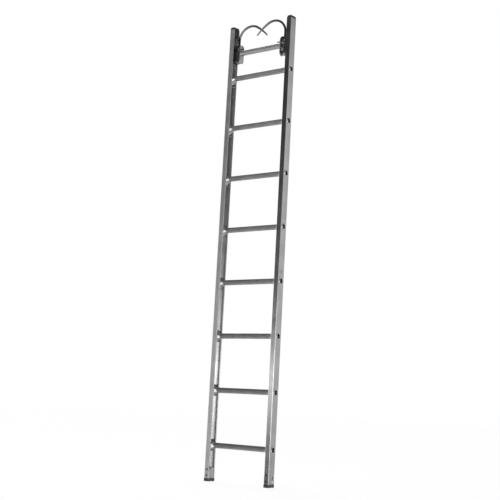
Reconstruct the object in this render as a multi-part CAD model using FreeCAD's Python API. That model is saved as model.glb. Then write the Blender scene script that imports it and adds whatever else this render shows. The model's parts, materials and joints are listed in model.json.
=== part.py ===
import FreeCAD, Part
import math
import os

from FreeCAD import Vector

# Roof ladder: two channel rails, eight rungs, a tube that ties two folding roof hooks,
# spurred feet and capped tips.
# Millimetres. +X to the climber's right, +Y to the roof side, +Z up the ladder.
# The origin is midway between the two feet, on the surface they stand on.
# Everything on the left (-X) side is drawn once and mirrored to the right.

# --- whole ladder ---
ladder_width = 500.0
rung_count = 8
rung_pitch = 355.6
lowest_rung = 230.0
hook_tube_rise = 177.8
rail_above_hook_tube = 178.0

# --- rail section: a channel with its open side inwards and beaded flange edges ---
rail_depth = 64.0
rail_flange = 34.0
web_wall = 3.2
flange_wall = 4.0
bead_wall = 6.5
bead_width = 9.0
rail_corner = 2.5
rail_inner_corner = 0.5
flange_edge_round = 1.5
bead_slope = 2.0
accessory_hole_radius = 6.0
accessory_hole_rise = 60.0
accessory_hole_rung = 4

# --- rungs ---
rung_radius = 17.5
rung_wall = 3.4
rung_rib = 4.0
grip_ridges = 32
grip_depth = 0.8
grip_past_nose = 1.0
ring_radius = 21.5
ring_height = 2.2
ring_round = 1.4
block_height = 74.0
block_bead_gap = 1.6
block_corner = 17.0
block_round = 5.0
nose_radius = 19.5
nose_reach = 16.0

# --- tube between the hook housings ---
tube_radius = 17.5
tube_wall = 3.0
collar_radius = 21.0
collar_width = 5.0

# --- hook housing: base in the channel, two bored lugs and a cheek plate ---
cheek_inset = 88.0
shank_behind_cheek = 20.0
cheek_wall = 6.0
cheek_half_width = 23.0
cheek_below_tube = 75.0
cheek_above_tube = 57.0
cheek_round = 22.5
base_wall = 6.0
base_below_tube = 96.0
base_above_tube = 112.0
base_taper = 16.0
base_round = 4.0
lower_lug_drop = 59.0
lower_lug_height = 14.0
upper_lug_rise = 37.0
upper_lug_height = 18.0
ear_bead_gap = 0.6
lug_round = 3.0
ear_round = 1.0
housing_screw_radius = 4.0
housing_screw_head = 6.5
housing_screw_head_height = 4.4
housing_screw_bite = 16.0
cheek_screw_radius = 3.0
cheek_screw_head = 5.2
cheek_screw_head_height = 2.8
cheek_screw_spread = 13.0
cheek_screw_bite = 12.0
cheek_pin_radius = 4.0
cheek_pin_reach = 25.0
cheek_pin_side = 14.0
cheek_pin_rise = 24.0
cheek_pin_chamfer = 1.2

# --- hook and what turns, slides and springs with it ---
bar_radius = 8.0
tip_radius = 4.6
bend_radius = 91.0
bend_start = 42.0
bend_past_top = 32.0
tail_radius = 357.0
tail_length = 107.0
tail_steps = 6
rest_swing = 3.0
open_swing = 90.0
shank_chamfer = 1.5
index_pin_radius = 3.0
index_pin_half = 14.5
index_pin_chamfer = 0.5
washer_radius = 14.4
washer_height = 3.0
nut_across_flats = 24.0
nut_height = 10.0
shank_tail = 4.0
spring_wire = 1.7
spring_mean_radius = 12.4
spring_turns = 7

# --- caps on the rail tips ---
cap_height = 24.0
cap_overhang = 0.8
cap_round = 8.0
cap_plug = 40.0

# --- feet ---
spur_height = 20.0
spur_overhang = 1.0
spur_notch_width = 18.0
spur_notch_depth = 12.0
spur_round = 3.0
spur_notch_round = 1.0
tongue_wall = 7.0
tongue_width = 20.0
tongue_height = 52.0
insert_shoulder = 84.0
face_wall = 2.5
face_half_width = 30.0
face_shoulder = 74.0
face_peak = 92.0
face_round = 9.0
foot_bolt_radius = 4.0
foot_bolt_head = 5.6
foot_bolt_head_height = 3.6
foot_bolt_heights = (37.5, 75.5)
foot_nut_flats = 13.0
foot_nut_height = 6.5
foot_bolt_past_nut = 2.0
web_slot_length = 24.0
web_slot_radius = 4.0
web_slot_height = 57.0
rivet_radius = 3.0
rivet_head = 6.8
rivet_head_height = 2.6
rivet_height = 36.0

# --- clearances ---
seat = 0.2
running = 0.1
clear = 0.3
screw_end_gap = 1.0

# --- drawing aids ---
overrun = 1.0        # how far a cut starts before and ends past the wall it goes through
tiny = 0.01          # near enough to count as the same place
dome_share = 0.6     # share of a screw head's height that is rounded

# --- places that follow from the sizes above ---
outer_x = ladder_width / 2
web_x = outer_x - web_wall
mouth_x = outer_x - rail_flange
half_depth = rail_depth / 2
inside_y = half_depth - flange_wall
bead_y = half_depth - bead_wall
bead_x = mouth_x + bead_width
bead_root_x = bead_x + bead_slope
flange_mid_x = (web_x + mouth_x) / 2
nose_x = mouth_x - nose_reach
block_face_x = bead_root_x + block_bead_gap
rung_heights = [lowest_rung + i * rung_pitch for i in range(rung_count)]
tube_z = rung_heights[-1] + hook_tube_rise
rail_top = tube_z + rail_above_hook_tube
rail_bottom = spur_height
cheek_x = outer_x - cheek_inset
cheek_back_x = cheek_x + cheek_wall
shank_x = cheek_back_x + shank_behind_cheek
base_x = web_x - seat - base_wall
ear_x = bead_root_x + ear_bead_gap
housing_screw_x = (base_x + ear_x) / 2
lower_lug_top = tube_z - lower_lug_drop + lower_lug_height
upper_lug_bottom = tube_z + upper_lug_rise
upper_lug_top = upper_lug_bottom + upper_lug_height
index_pin_z = upper_lug_bottom + index_pin_radius
washer_top = upper_lug_bottom - clear
nut_top = tube_z - lower_lug_drop - clear
bend_z = upper_lug_top + bend_start
tongue_x = web_x - seat
tongue_y = (0.0, tongue_width)


def box(x, y, z):
    """A block between the two values given along each axis."""
    return Part.makeBox(x[1] - x[0], y[1] - y[0], z[1] - z[0], Vector(x[0], y[0], z[0]))


def rod(radius, start, end):
    """A round rod from one point to another."""
    run = Vector(*end) - Vector(*start)
    return Part.makeCylinder(radius, run.Length, Vector(*start), run)


def ring(outer, inner, start, end):
    """A round rod with a bore along it."""
    return rod(outer, start, end).cut(rod(inner, start, end))


def outline(corners, rounds):
    """A closed wire through points, each corner rounded by its own radius (0 = sharp)."""
    count = len(corners)
    starts = []
    ends = []
    middles = []
    for i, corner in enumerate(corners):
        back = (corners[i - 1] - corner).normalize()
        ahead = (corners[(i + 1) % count] - corner).normalize()
        half = math.acos(max(-1.0, min(1.0, back.dot(ahead)))) / 2
        reach = rounds[i] / math.tan(half)
        starts.append(corner + back * reach)
        ends.append(corner + ahead * reach)
        to_centre = rounds[i] / math.sin(half)
        middles.append(corner + (back + ahead).normalize() * (to_centre - rounds[i]))
    edges = []
    for i in range(count):
        if rounds[i] > 0:
            edges.append(Part.Arc(starts[i], middles[i], ends[i]).toShape())
        edges.append(Part.LineSegment(ends[i], starts[(i + 1) % count]).toShape())
    return Part.Wire(edges)


def plate(corners, rounds, thickness):
    """A flat plate: the rounded outline pushed along the given vector."""
    return Part.Face(outline(corners, rounds)).extrude(thickness)


def plate_x(yz, rounds, x):
    """A plate that lies in the YZ plane between two X values."""
    corners = [Vector(x[0], y, z) for y, z in yz]
    return plate(corners, rounds, Vector(x[1] - x[0], 0, 0))


def plate_z(xy, rounds, z):
    """A plate that lies in the XY plane between two heights."""
    corners = [Vector(px, py, z[0]) for px, py in xy]
    return plate(corners, rounds, Vector(0, 0, z[1] - z[0]))


def hexagon_bar(flats, start, end):
    """A hexagonal bar along the line from start to end."""
    run = Vector(*end) - Vector(*start)
    across = run.cross(Vector(1, 0, 0))
    if across.Length < 1e-6:
        across = run.cross(Vector(0, 1, 0))
    across.normalize()
    reach = flats / math.sqrt(3)
    turn = FreeCAD.Rotation(run, 60)
    corners = []
    arm = across * reach
    for _ in range(6):
        corners.append(Vector(*start) + arm)
        arm = turn.multVec(arm)
    return plate(corners, [0] * 6, run)


def right_of(shape):
    """The same piece on the other side of the ladder."""
    return shape.mirror(Vector(0, 0, 0), Vector(1, 0, 0))


def group(shapes):
    return Part.makeCompound(shapes)


# ---------------------------------------------------------------- rails and rungs

def left_rail(with_accessory_hole):
    """Channel section with rounded outer corners and a bead along each flange edge."""
    section = [
        (-outer_x, -half_depth), (-mouth_x, -half_depth), (-mouth_x, -bead_y), (-bead_x, -bead_y),
        (-bead_root_x, -inside_y), (-web_x, -inside_y), (-web_x, inside_y), (-bead_root_x, inside_y),
        (-bead_x, bead_y), (-mouth_x, bead_y), (-mouth_x, half_depth), (-outer_x, half_depth)]
    edge = flange_edge_round
    root = rail_inner_corner
    rounds = [rail_corner, edge, edge, 0, 0, root, root, 0, 0, edge, edge, rail_corner]
    rail = plate_z(section, rounds, (rail_bottom, rail_top))
    cuts = [web_hole(rung_radius + running, 0, z) for z in rung_heights]
    for z in foot_bolt_heights:
        cuts.append(rod(foot_bolt_radius + seat, (-flange_mid_x, -half_depth - overrun, z),
                        (-flange_mid_x, half_depth + overrun, z)))
    for z in housing_screw_heights():
        cuts.append(rod(housing_screw_radius + seat, (-housing_screw_x, inside_y - overrun, z),
                        (-housing_screw_x, half_depth + overrun, z)))
    cuts.append(web_slot())
    cuts.append(web_hole(rivet_radius + running, tongue_width / 2, rivet_height))
    if with_accessory_hole:
        z = rung_heights[accessory_hole_rung - 1] + accessory_hole_rise
        cuts.append(web_hole(accessory_hole_radius, 0, z))
    return rail.cut(group(cuts))


def web_hole(radius, y, z):
    """A round hole through the left rail's web."""
    return rod(radius, (-outer_x - overrun, y, z), (-web_x + overrun, y, z))


def web_slot():
    """The upright slot in the web that shows the spur's tongue."""
    y = tongue_width / 2
    half = web_slot_length / 2
    corners = [(y - web_slot_radius, web_slot_height - half), (y + web_slot_radius, web_slot_height - half),
               (y + web_slot_radius, web_slot_height + half), (y - web_slot_radius, web_slot_height + half)]
    return plate_x(corners, [web_slot_radius - tiny] * 4, (-outer_x - overrun, -web_x + overrun))


def rung_bore(half_length):
    """The two half-moon passages either side of the rib that runs through a rung."""
    inner = rung_radius - rung_wall
    bore = rod(inner, (-half_length, 0, 0), (half_length, 0, 0))
    rib = box((-half_length, half_length), (-inner, inner), (-rung_rib / 2, rung_rib / 2))
    return bore.cut(rib)


def rung():
    """An extruded tube with a ridged grip between smooth ends, lying along X."""
    half = outer_x + ring_height
    grip_half = nose_x - grip_past_nose
    steps = 2 * grip_ridges
    corners = []
    for i in range(steps):
        radius = rung_radius - grip_depth * (i % 2)
        angle = 2 * math.pi * i / steps
        corners.append(Vector(-grip_half, radius * math.cos(angle), radius * math.sin(angle)))
    grip = plate(corners, [0] * steps, Vector(2 * grip_half, 0, 0))
    ends = [rod(rung_radius, (side * half, 0, 0), (side * grip_half, 0, 0)) for side in (-1, 1)]
    return grip.fuse(ends).cut(rung_bore(half))


def rung_end_ring():
    """The rolled ring that closes a rung against the outside of the web."""
    body = rod(ring_radius, (-outer_x - ring_height, 0, 0), (-outer_x, 0, 0))
    rim = [e for e in body.Edges if abs(e.BoundBox.XMax + outer_x + ring_height) < tiny]
    body = body.makeFillet(ring_round, rim[:1])
    bore = rod(rung_radius + running, (-outer_x - ring_height - overrun, 0, 0), (-outer_x + overrun, 0, 0))
    return body.cut(bore)


def rung_block():
    """The bored block that carries a rung end: an octagon inside the channel, and a nose that
    narrows between the beads and out of the mouth to a lip round the rung."""
    y = inside_y - seat
    z = block_height / 2
    c = block_corner
    corners = [(-y, -z + c), (-y + c, -z), (y - c, -z), (y, -z + c),
               (y, z - c), (y - c, z), (-y + c, z), (-y, z - c)]
    deep = plate_x(corners, [block_round] * 8, (-web_x + seat, -block_face_x))
    nose = Part.makeCone(z, nose_radius, block_face_x - nose_x, Vector(-block_face_x, 0, 0), Vector(1, 0, 0))
    between_beads = box((-block_face_x, -nose_x), (-bead_y + seat, bead_y - seat), (-z, z))
    bore = rod(rung_radius + running, (-outer_x, 0, 0), (-nose_x + overrun, 0, 0))
    return deep.fuse(nose.common(between_beads)).cut(bore)


def at_each_rung(piece):
    return group([piece.translated(Vector(0, 0, z)) for z in rung_heights])


# ---------------------------------------------------------------- hook tube and housings

def hook_tube():
    """The plain tube that ties one hook housing to the other."""
    ends = ((-cheek_back_x, 0, tube_z), (cheek_back_x, 0, tube_z))
    return ring(tube_radius, tube_radius - tube_wall, *ends)


def tube_collar():
    """The ring that closes the tube against the cheek plate."""
    ends = ((-cheek_x, 0, tube_z), (-cheek_x + collar_width, 0, tube_z))
    return ring(collar_radius, tube_radius + running, *ends)


def lug_spans():
    """Lowest and highest point of the lower and the upper lug."""
    lower = tube_z - lower_lug_drop
    return ((lower, lower + lower_lug_height), (upper_lug_bottom, upper_lug_top))


def housing_screw_heights():
    return [(low + high) / 2 for low, high in lug_spans()]


def lug(z):
    """A flat lug with ears that reach the rail's flanges inside the channel."""
    ear_y = inside_y - seat
    w = cheek_half_width
    corners = [(-base_x, -ear_y), (-ear_x, -ear_y), (-ear_x, -w), (-cheek_back_x, -w),
               (-cheek_back_x, w), (-ear_x, w), (-ear_x, ear_y), (-base_x, ear_y)]
    return plate_z(corners, [0, ear_round, 0, lug_round, lug_round, 0, ear_round, 0], z)


def index_pocket(rest, travel):
    """The recess under the upper lug that lets the index pin turn through its travel only."""
    reach = index_pin_half + clear
    half = index_pin_radius + clear
    low = upper_lug_bottom - overrun
    depth = overrun + 2 * index_pin_radius + clear
    centre = Vector(-shank_x, 0, low)
    up = Vector(0, 0, 1)
    cuts = []
    for angle in (rest, rest + travel):
        slot = Part.makeBox(2 * reach, 2 * half, depth, centre - Vector(reach, half, 0))
        cuts.append(slot.rotate(centre, up, angle))
    for angle in (rest, rest + 180):
        fan = Part.makeCylinder(reach, depth, centre, up, travel)
        cuts.append(fan.rotate(centre, up, angle))
    return cuts[0].fuse(cuts[1:])


def left_housing(rest, travel):
    """A cast base plate against the web with two lugs bored for the hook's shank."""
    y = inside_y - seat
    low = tube_z - base_below_tube
    high = tube_z + base_above_tube
    t = base_taper
    corners = [(-y, low + t), (-y + t, low), (y - t, low), (y, low + t),
               (y, high - t), (y - t, high), (-y + t, high), (-y, high - t)]
    base = plate_x(corners, [base_round] * 8, (-base_x - base_wall, -base_x))
    body = base.fuse([lug(z) for z in lug_spans()])
    shank_bore = rod(bar_radius + running, (-shank_x, 0, nut_top - overrun),
                     (-shank_x, 0, upper_lug_top + overrun))
    cuts = [shank_bore, index_pocket(rest, travel)]
    for z in housing_screw_heights():
        cuts.append(rod(housing_screw_radius + running, (-housing_screw_x, inside_y - housing_screw_bite, z),
                        (-housing_screw_x, half_depth, z)))
    for y, z in cheek_screw_places():
        cuts.append(rod(cheek_screw_radius + running, (-cheek_back_x - cheek_screw_bite, y, z),
                        (-cheek_back_x + overrun, y, z)))
    return body.cut(group(cuts))


def cheek_screw_places():
    return [(side * cheek_screw_spread, z) for z in housing_screw_heights() for side in (-1, 1)]


def left_cheek():
    """The rounded plate across the two lugs that holds the tube's end."""
    w = cheek_half_width
    low = tube_z - cheek_below_tube
    high = tube_z + cheek_above_tube
    body = plate_x([(-w, low), (w, low), (w, high), (-w, high)], [cheek_round] * 4, (-cheek_back_x, -cheek_x))
    holes = [(tube_radius, 0, tube_z), (cheek_pin_radius, -cheek_pin_side, tube_z + cheek_pin_rise)]
    holes += [(cheek_screw_radius, y, z) for y, z in cheek_screw_places()]
    start, end = -cheek_back_x - overrun, -cheek_x + overrun
    return body.cut(group([rod(r + running, (start, y, z), (end, y, z)) for r, y, z in holes]))


def dome_screw(radius, head, head_height, seat_point, inwards, length):
    """A round-headed screw: the head stands on seat_point and the shank runs inwards."""
    base = Vector(*seat_point)
    into = Vector(*inwards)
    shank = Part.makeCylinder(radius, length, base, into)
    cap = Part.makeCylinder(head, head_height, base - into * head_height, into)
    rim = [e for e in cap.Edges if abs((e.CenterOfMass - base).dot(into) + head_height) < tiny]
    cap = cap.makeFillet(head_height * dome_share, rim[:1])
    return shank.fuse(cap)


def left_housing_screws():
    places = [(-housing_screw_x, half_depth, z) for z in housing_screw_heights()]
    length = flange_wall + housing_screw_bite - screw_end_gap
    return group([dome_screw(housing_screw_radius, housing_screw_head, housing_screw_head_height,
                             place, (0, -1, 0), length) for place in places])


def left_cheek_screws():
    length = cheek_wall + cheek_screw_bite - screw_end_gap
    return group([dome_screw(cheek_screw_radius, cheek_screw_head, cheek_screw_head_height,
                             (-cheek_x, y, z), (-1, 0, 0), length) for y, z in cheek_screw_places()])


def cheek_pin():
    """A round pin set in the cheek plate above the tube, pointing inwards."""
    z = tube_z + cheek_pin_rise
    tip_x = -cheek_x + cheek_pin_reach
    pin = rod(cheek_pin_radius, (-cheek_back_x, -cheek_pin_side, z), (tip_x, -cheek_pin_side, z))
    tip = [e for e in pin.Edges if abs(e.BoundBox.XMin - tip_x) < tiny]
    return pin.makeChamfer(cheek_pin_chamfer, tip[:1])


# ---------------------------------------------------------------- hook and its spring set

def tail_sections(start, heading):
    """Circles along the gently curved, tapering tail, from the bend to the tip."""
    wires = []
    for i in range(tail_steps + 1):
        along = tail_length * i / tail_steps
        turn = along / tail_radius
        place = start + Vector(
            tail_radius * (math.sin(heading + turn) - math.sin(heading)), 0,
            tail_radius * (math.cos(heading + turn) - math.cos(heading)))
        direction = Vector(math.cos(heading + turn), 0, -math.sin(heading + turn))
        radius = bar_radius + (tip_radius - bar_radius) * i / tail_steps
        wires.append(Part.Wire(Part.makeCircle(radius, place, direction)))
    return wires


def left_hook(rest):
    """A round bar: upright shank, one bend over the top, and a tail that tapers to its tip."""
    bottom = nut_top - nut_height - shank_tail
    shank = rod(bar_radius, (0, 0, bottom), (0, 0, bend_z))
    foot = [e for e in shank.Edges if abs(e.BoundBox.ZMax - bottom) < tiny]
    shank = shank.makeChamfer(shank_chamfer, foot[:1])
    past = math.radians(bend_past_top)
    section = Part.Face(Part.Wire(Part.makeCircle(bar_radius, Vector(0, 0, bend_z), Vector(0, 0, 1))))
    centre = Vector(bend_radius, 0, bend_z)
    bend = section.revolve(centre, Vector(0, 1, 0), 90 + bend_past_top)
    end = centre + Vector(bend_radius * math.sin(past), 0, bend_radius * math.cos(past))
    sections = tail_sections(end, past)
    tail = Part.makeLoft(sections, True, False)
    tip = Part.makeSphere(tip_radius, sections[-1].CenterOfMass)
    reach = bar_radius + overrun
    hole = rod(index_pin_radius + running / 2, (-reach, 0, index_pin_z), (reach, 0, index_pin_z))
    body = shank.fuse([bend, tail, tip]).cut(hole)
    return at_shank(body, rest)


def at_shank(piece, rest):
    """Turns a piece to the hook's rest direction and stands it on the left shank's axis."""
    turned = piece.rotate(Vector(0, 0, 0), Vector(0, 0, 1), rest)
    return turned.translated(Vector(-shank_x, 0, 0))


def index_pin(rest):
    """The cross pin that hangs the hook in its housing and stops its swing."""
    pin = rod(index_pin_radius, (-index_pin_half, 0, index_pin_z), (index_pin_half, 0, index_pin_z))
    return at_shank(pin.makeChamfer(index_pin_chamfer, [pin.Edges[0], pin.Edges[2]]), rest)


def thrust_washer():
    """The washer between the index pin and the spring."""
    body = ring(washer_radius, bar_radius + running, (0, 0, washer_top - washer_height), (0, 0, washer_top))
    return at_shank(body, 0)


def retaining_nut(rest):
    """The nut on the shank's lower end, under the lower lug."""
    body = hexagon_bar(nut_across_flats, (0, 0, nut_top - nut_height), (0, 0, nut_top))
    bore = rod(bar_radius + running / 2, (0, 0, nut_top - nut_height - overrun), (0, 0, nut_top + overrun))
    return at_shank(body.cut(bore), rest)


def hook_spring():
    """A coil spring round the shank, from the lower lug to the thrust washer."""
    low = lower_lug_top + seat + spring_wire
    high = washer_top - washer_height - seat - spring_wire
    helix = Part.makeHelix((high - low) / spring_turns, high - low, spring_mean_radius)
    start = Vector(spring_mean_radius, 0, 0)
    section = Part.Wire(Part.makeCircle(spring_wire, start, Vector(0, 1, 0)))
    coil = Part.Wire(helix.Edges).makePipeShell([section], True, True)
    return at_shank(coil.translated(Vector(0, 0, low)), 0)


# ---------------------------------------------------------------- rail caps and feet

def left_cap():
    """A plug in the rail's open end under a rounded cap."""
    o = cap_overhang
    top = rail_top + cap_height
    cap = box((-outer_x - o, -mouth_x + o), (-half_depth - o, half_depth + o), (rail_top, top))
    high = [e for e in cap.Edges if e.BoundBox.ZMin > top - tiny]
    upright = [e for e in cap.Edges if e.BoundBox.ZLength > cap_height - tiny]
    cap = cap.makeFillet(cap_round, high + upright)
    plug = box((-web_x + seat, -mouth_x), (-bead_y + seat, bead_y - seat),
               (rail_top - cap_plug, rail_top + overrun))
    return cap.fuse(plug)


def foot_tongue(margin):
    """The spur's tongue, grown by a margin on the sides that face the insert."""
    return box((-tongue_x, -tongue_x + tongue_wall + margin), (tongue_y[0] - margin, tongue_y[1] + margin),
               (spur_height - overrun, spur_height + tongue_height + margin))


def left_spur():
    """A steel shoe under the rail: two treads with a notch between, and a tongue up the web."""
    o = spur_overhang
    y = half_depth + o
    n = spur_notch_width / 2
    corners = [(-y, 0), (-n, 0), (0, spur_notch_depth), (n, 0), (y, 0), (y, spur_height), (-y, spur_height)]
    notch = spur_notch_round
    rounds = [spur_round, notch, notch, notch, spur_round, 0, 0]
    tread = plate_x(corners, rounds, (-outer_x - o, -mouth_x + face_wall))
    rivet_hole = rod(rivet_radius + running, (-outer_x, tongue_width / 2, rivet_height),
                     (-mouth_x, tongue_width / 2, rivet_height))
    return tread.fuse(foot_tongue(0)).cut(rivet_hole)


def left_insert():
    """The cast block in the foot of the channel, with an arched face over the flange edges."""
    y = inside_y - seat
    neck_x = -bead_root_x - seat
    deep = box((-web_x + seat, neck_x), (-y, y), (spur_height, insert_shoulder))
    narrow = box((neck_x, -mouth_x), (-bead_y + seat, bead_y - seat), (spur_height, insert_shoulder))
    w = face_half_width
    corners = [(-w, spur_height), (w, spur_height), (w, face_shoulder), (0, face_peak), (-w, face_shoulder)]
    face = plate_x(corners, [0, 0, face_round, face_round, face_round], (-mouth_x, -mouth_x + face_wall))
    cuts = [foot_tongue(clear)]
    for z in foot_bolt_heights:
        cuts.append(rod(foot_bolt_radius + seat, (-flange_mid_x, -half_depth, z),
                        (-flange_mid_x, half_depth, z)))
    return deep.fuse([narrow, face]).cut(group(cuts))


def left_foot_bolts():
    length = rail_depth + foot_nut_height + foot_bolt_past_nut
    return group([dome_screw(foot_bolt_radius, foot_bolt_head, foot_bolt_head_height,
                             (-flange_mid_x, -half_depth, z), (0, 1, 0), length) for z in foot_bolt_heights])


def left_foot_nuts():
    nuts = []
    for z in foot_bolt_heights:
        nut = hexagon_bar(foot_nut_flats, (-flange_mid_x, half_depth, z),
                          (-flange_mid_x, half_depth + foot_nut_height, z))
        nuts.append(nut.cut(rod(foot_bolt_radius + running / 2, (-flange_mid_x, half_depth - overrun, z),
                                (-flange_mid_x, half_depth + foot_nut_height + overrun, z))))
    return group(nuts)


def left_foot_rivet():
    length = outer_x - tongue_x + tongue_wall
    return dome_screw(rivet_radius, rivet_head, rivet_head_height,
                      (-outer_x, tongue_width / 2, rivet_height), (1, 0, 0), length)


# ---------------------------------------------------------------- assembly

def ladder_parts():
    """Every node of the ladder by name."""
    parts = {"left_rail": left_rail(False), "right_rail": right_of(left_rail(True))}
    for i, z in enumerate(rung_heights):
        parts["rung_%d" % (i + 1)] = rung().translated(Vector(0, 0, z))
    parts["hook_tube"] = hook_tube()
    both_sides = {
        "rung_blocks": at_each_rung(rung_block()),
        "rung_end_rings": at_each_rung(rung_end_ring()),
        "tube_collar": tube_collar(),
        "cheek_plate": left_cheek(),
        "cheek_screws": left_cheek_screws(),
        "cheek_pin": cheek_pin(),
        "housing_screws": left_housing_screws(),
        "thrust_washer": thrust_washer(),
        "hook_spring": hook_spring(),
        "rail_cap": left_cap(),
        "spur": left_spur(),
        "foot_insert": left_insert(),
        "foot_bolts": left_foot_bolts(),
        "foot_nuts": left_foot_nuts(),
        "foot_rivet": left_foot_rivet(),
    }
    for name, shape in both_sides.items():
        parts["left_" + name] = shape
        parts["right_" + name] = right_of(shape)
    for side, rest, place in (("left_", rest_swing, group), ("right_", -rest_swing, mirrored_group)):
        travel = open_swing - rest
        parts[side + "hook_housing"] = place([left_housing(rest, travel)])
        parts[side + "hook"] = place([left_hook(rest)])
        parts[side + "index_pin"] = place([index_pin(rest)])
        parts[side + "hook_nut"] = place([retaining_nut(rest)])
    return parts


def mirrored_group(shapes):
    return group([right_of(shape) for shape in shapes])


os.makedirs("parts", exist_ok=True)
for node, shape in ladder_parts().items():
    shape.exportStep("parts/%s.step" % node)
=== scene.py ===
import json
from math import cos, pi, radians, sin, sqrt

import bmesh
import bpy
import numpy as np
from mathutils import Matrix, Vector


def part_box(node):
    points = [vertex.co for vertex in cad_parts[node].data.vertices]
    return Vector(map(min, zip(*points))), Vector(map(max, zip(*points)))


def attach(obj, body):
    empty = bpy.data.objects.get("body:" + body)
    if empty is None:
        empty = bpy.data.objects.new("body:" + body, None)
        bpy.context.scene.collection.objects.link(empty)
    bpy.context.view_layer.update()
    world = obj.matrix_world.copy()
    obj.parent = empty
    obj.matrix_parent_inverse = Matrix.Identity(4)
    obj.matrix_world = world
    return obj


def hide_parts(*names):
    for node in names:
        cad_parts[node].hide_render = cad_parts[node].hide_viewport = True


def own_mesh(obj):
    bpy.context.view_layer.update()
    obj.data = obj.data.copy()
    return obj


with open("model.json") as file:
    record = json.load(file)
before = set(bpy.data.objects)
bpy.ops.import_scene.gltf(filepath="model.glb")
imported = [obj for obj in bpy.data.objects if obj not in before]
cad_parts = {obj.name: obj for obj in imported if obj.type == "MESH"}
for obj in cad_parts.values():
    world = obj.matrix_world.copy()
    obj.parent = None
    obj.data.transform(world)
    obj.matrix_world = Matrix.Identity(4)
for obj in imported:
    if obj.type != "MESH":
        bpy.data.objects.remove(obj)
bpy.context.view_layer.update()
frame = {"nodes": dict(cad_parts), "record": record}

# Roof ladder. Metres, +X to the climber's right, +Y to the roof, +Z up the rails.
# Places and outer sizes come from the frame; what a piece adds to them is named here.

MM = 0.001
SIDES = (("left", -1), ("right", 1))
RUNGS = ["rung_%d" % (i + 1) for i in range(8)]

RIDGES = 32
RIDGE_DEPTH = 0.8 * MM
RIDGE_FADE = 5 * MM
GRIP_INSET = 54 * MM
TUBE_WALL = 3.4 * MM
RIB = 4 * MM

BAR_RADIUS = 8 * MM
TIP_RADIUS = 4.6 * MM
UPPER_LUG = 18 * MM
SHANK_TOP = 42 * MM
BEND_RADIUS = 91 * MM
BEND_PAST_TOP = radians(32)
TAIL_RADIUS = 357 * MM
TAIL_LENGTH = 107 * MM
REST_SWING = radians(3)
THREAD_PITCH = 1.75 * MM
THREAD_DEPTH = 0.7 * MM

SPRING_WIRE = 1.7 * MM
SPRING_TURNS = 8.5
SPRING_DEAD_TURNS = 0.8

WALL = 3.2 * MM
BEAD_WALL = 6.5 * MM
BEAD_ROOT = 11 * MM
RAIL_DEPTH = 64 * MM
BLOCK_BEAD_GAP = 1.6 * MM
BLOCK_CORNER = 17 * MM
BLOCK_ROUND = 2.2 * MM
NOSE_LIP = 19.5 * MM
LIP_ROUND = 1.4 * MM
FIT = 0.2 * MM
CHEEK_SCREW_HEAD = 5.2 * MM
TUBE_BORE_WALL = 3 * MM
HOOK_NUT_FLATS = 24 * MM
CAP_SETBACK = 0.8 * MM
CAP_CROWN = 7 * MM
CAP_SLOPE = 14 * MM
CAP_DIP = 7 * MM
EASE = 0.4 * MM
RAIL_INSIDE_X = 247.2 * MM
RAIL_INSIDE_Y = 28.3 * MM
HOUSING_BARE_X = 239 * MM       # beyond this, the base plate
# The lugs and the hollow between them are painted near-black as painted shade; the next two set where it
# lies.
HOUSING_SHADE_RISE = -2 * MM    # middle of the lugs over the tube's axis
HOUSING_SHADE_HALF = 57 * MM    # half the height of the lugs and the hollow between


# ---------------------------------------------------------------- surfaces

def ends(node):
    """Lowest and highest corner of a frame node, as arrays."""
    low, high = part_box(node)
    return np.array(low), np.array(high)


def turn(count, start=0.0):
    """Angles of one full turn, without the last one."""
    return start + np.arange(count) * 2 * pi / count


def ring(radius, angles):
    """Points of a circle, or of any outline given as a radius for each angle."""
    return np.stack([radius * np.cos(angles), radius * np.sin(angles)], -1)


def hexagon(flats, angles):
    """Radius of a hexagon at each angle: half the flats over the cosine to the nearest flat."""
    return flats / 2 / np.cos((angles + pi / 6) % (pi / 3) - pi / 6)


def soft_outline(corners, radius, steps=6):
    """A convex outline whose corners are arcs: each corner's centre plus the radius along
    every direction between the normals of its two edges."""
    corners = np.array(corners, float)
    edges = np.roll(corners, -1, 0) - corners
    normals = np.arctan2(-edges[:, 0], edges[:, 1])
    before = np.roll(normals, 1)
    sweep = (normals - before) % (2 * pi)
    half = sweep / 2
    middle = before + half
    centres = corners - (radius / np.cos(half))[:, None] * ring(1, middle)
    share = np.linspace(0, 1, steps + 1)
    angles = before[:, None] + sweep[:, None] * share
    return (centres[:, None] + ring(radius, angles)).reshape(-1, 2)


def stand(outlines, heights, axis=(0, 0, 1), place=(0, 0, 0)):
    """Rows of points: outline k stands at height k along the axis from the place."""
    up = Vector(axis).normalized()
    side = up.orthogonal().normalized() if abs(up.z) < 0.9 else Vector((1, 0, 0))
    if abs(up.x) > 0.9:
        side = Vector((0, 1, 0))
    other = up.cross(side)
    basis = np.array([side, other, up])
    rows = [np.column_stack([o, np.full(len(o), h)]) for o, h in zip(outlines, heights)]
    return np.array(rows) @ basis + np.array(place)


def piece(name, shells, node, body="ladder", smooth=35):
    """One closed mesh from several shells. A shell is rows of points, joined round each row and
    from row to row; it is closed on itself ("loop"), capped at its two ends ("caps") or open
    where another shell meets it ("open")."""
    points = []
    faces = []
    base = 0
    for rows, kind in shells:
        rows = np.asarray(rows)
        count = rows.shape[1]
        index = base + np.arange(rows.shape[0] * count).reshape(-1, count)
        lower = index if kind == "loop" else index[:-1]
        upper = np.roll(index, -1, 0) if kind == "loop" else index[1:]
        quads = np.stack([lower, np.roll(lower, -1, 1), np.roll(upper, -1, 1), upper], -1)
        faces += quads.reshape(-1, 4).tolist()
        if kind == "caps":
            faces += [index[0, ::-1].tolist(), index[-1].tolist()]
        points.append(rows.reshape(-1, 3))
        base += len(points[-1])
    mesh = bpy.data.meshes.new(name)
    mesh.from_pydata(np.concatenate(points).tolist(), [], faces)
    return own(name, mesh, node, body, smooth)


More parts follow.
